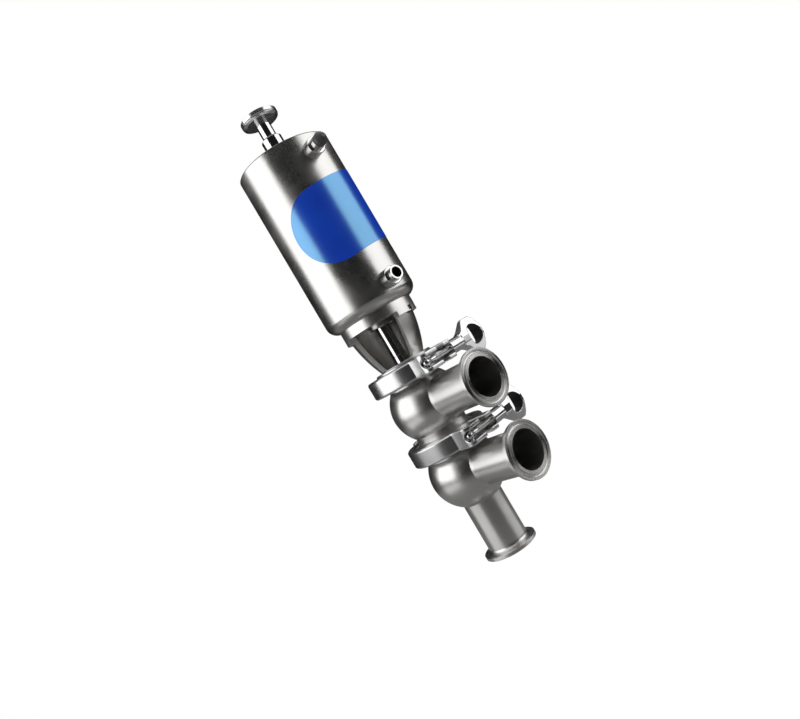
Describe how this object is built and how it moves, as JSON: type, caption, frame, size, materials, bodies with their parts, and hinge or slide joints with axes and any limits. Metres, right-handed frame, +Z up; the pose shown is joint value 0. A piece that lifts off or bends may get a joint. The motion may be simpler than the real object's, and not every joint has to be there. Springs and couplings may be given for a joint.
{
  "type": "sanitary three-way valve",
  "caption": "Stainless three-way seat valve: spring-return air cylinder on an open yoke, two round bowls with side ports, bottom port, hinged clamps with wing nuts.",
  "frame": {"origin": "centre of the bottom port's ferrule face", "axes": "+Z up the stem to the knob, +X out of the two side ports, +Y towards the wing nuts"},
  "size_m": [0.1276, 0.1012, 0.4478],
  "materials": {
    "body_steel": "satin stainless steel",
    "yoke_steel": "turned stainless steel",
    "cylinder_steel": "drawn stainless steel, satin",
    "polished_steel": "polished stainless steel",
    "clamp_steel": "polished cast stainless steel",
    "nut_steel": "polished cast stainless steel",
    "spring_steel": "spring steel",
    "piston_aluminium": "turned",
    "seal_rubber": "matt",
    "bush_plastic": "matt",
    "breather_plastic": "matt",
    "label_blue": "glossy film"
  },
  "bodies": {
    "valve_body": {"lower_body": "body_steel", "bottom_port_tube": "body_steel", "lower_side_tube": "body_steel", "upper_body": "body_steel", "upper_side_tube": "body_steel", "seat_ring": "body_steel", "waist_gasket": "seal_rubber", "bonnet_gasket": "seal_rubber", "bonnet": "body_steel", "stem_bush": "bush_plastic", "stem_seal": "seal_rubber", "yoke": "yoke_steel", "yoke_bolts": "polished_steel", "guide_bush": "body_steel", "rod_seals": "seal_rubber", "actuator_cylinder": "cylinder_steel", "end_cover": "cylinder_steel", "cover_seal": "seal_rubber", "snap_ring": "spring_steel", "top_gland": "polished_steel", "lower_air_fitting": "polished_steel", "upper_air_fitting": "polished_steel", "breather_plug": "breather_plastic", "blue_label": "label_blue", "return_spring": "spring_steel", "upper_fixed_half": "clamp_steel", "upper_hinge_pin": "polished_steel", "upper_bolt_pin": "polished_steel", "lower_fixed_half": "clamp_steel", "lower_hinge_pin": "polished_steel", "lower_bolt_pin": "polished_steel"},
    "stem": {"knob": "polished_steel", "indicator_rod": "polished_steel", "piston": "piston_aluminium", "piston_seal": "seal_rubber", "piston_rod": "polished_steel", "valve_stem": "polished_steel", "plug": "body_steel", "plug_seals": "seal_rubber", "plug_nut": "body_steel"},
    "upper_clamp_half": {"upper_moving_half": "clamp_steel"},
    "upper_bolt": {"upper_swing_bolt": "polished_steel"},
    "upper_washer": {"upper_washer": "polished_steel"},
    "upper_nut": {"upper_wing_nut": "nut_steel"},
    "lower_clamp_half": {"lower_moving_half": "clamp_steel"},
    "lower_bolt": {"lower_swing_bolt": "polished_steel"},
    "lower_washer": {"lower_washer": "polished_steel"},
    "lower_nut": {"lower_wing_nut": "nut_steel"}
  },
  "joints": [
    {"name": "stem_lift", "type": "slide", "parent": "valve_body", "child": "stem", "axis": [0, 0, 1], "range_m": [0, 0.024], "stiffness_N_per_m": 12000, "springref_m": -0.025, "deforming": ["return_spring"]},
    {"name": "upper_bolt_swing", "type": "hinge", "parent": "valve_body", "child": "upper_bolt", "pos_m": [0.0455, -0.0164, 0.1815], "axis": [0, 0, 1], "range_deg": [-50, 0]},
    {"name": "upper_washer_slide", "type": "slide", "parent": "upper_bolt", "child": "upper_washer", "axis": [0, 1, 0], "range_m": [0, 0.0075]},
    {"name": "upper_nut_spin", "type": "hinge", "parent": "upper_washer", "child": "upper_nut", "pos_m": [0.0455, 0.01495, 0.1815], "axis": [0, 1, 0], "range_deg": [0, 2160]},
    {"name": "upper_clamp_open", "type": "hinge", "parent": "valve_body", "child": "upper_clamp_half", "pos_m": [-0.0425, 0, 0.1815], "axis": [0, 0, 1], "range_deg": [0, 4.75]},
    {"name": "lower_bolt_swing", "type": "hinge", "parent": "valve_body", "child": "lower_bolt", "pos_m": [0.0455, -0.0164, 0.111], "axis": [0, 0, 1], "range_deg": [-50, 0]},
    {"name": "lower_washer_slide", "type": "slide", "parent": "lower_bolt", "child": "lower_washer", "axis": [0, 1, 0], "range_m": [0, 0.0075]},
    {"name": "lower_nut_spin", "type": "hinge", "parent": "lower_washer", "child": "lower_nut", "pos_m": [0.0455, 0.01495, 0.111], "axis": [0, 1, 0], "range_deg": [0, 2160]},
    {"name": "lower_clamp_open", "type": "hinge", "parent": "valve_body", "child": "lower_clamp_half", "pos_m": [-0.0425, 0, 0.111], "axis": [0, 0, 1], "range_deg": [0, 4.75]}
  ],
  "couplings": [
    {"joint": "upper_nut_spin", "follows": "upper_washer_slide", "rad_per_m": 5026.5},
    {"joint": "upper_clamp_open", "follows": "upper_washer_slide", "rad_per_m": 11.008},
    {"joint": "lower_nut_spin", "follows": "lower_washer_slide", "rad_per_m": 5026.5},
    {"joint": "lower_clamp_open", "follows": "lower_washer_slide", "rad_per_m": 11.008}
  ]
}
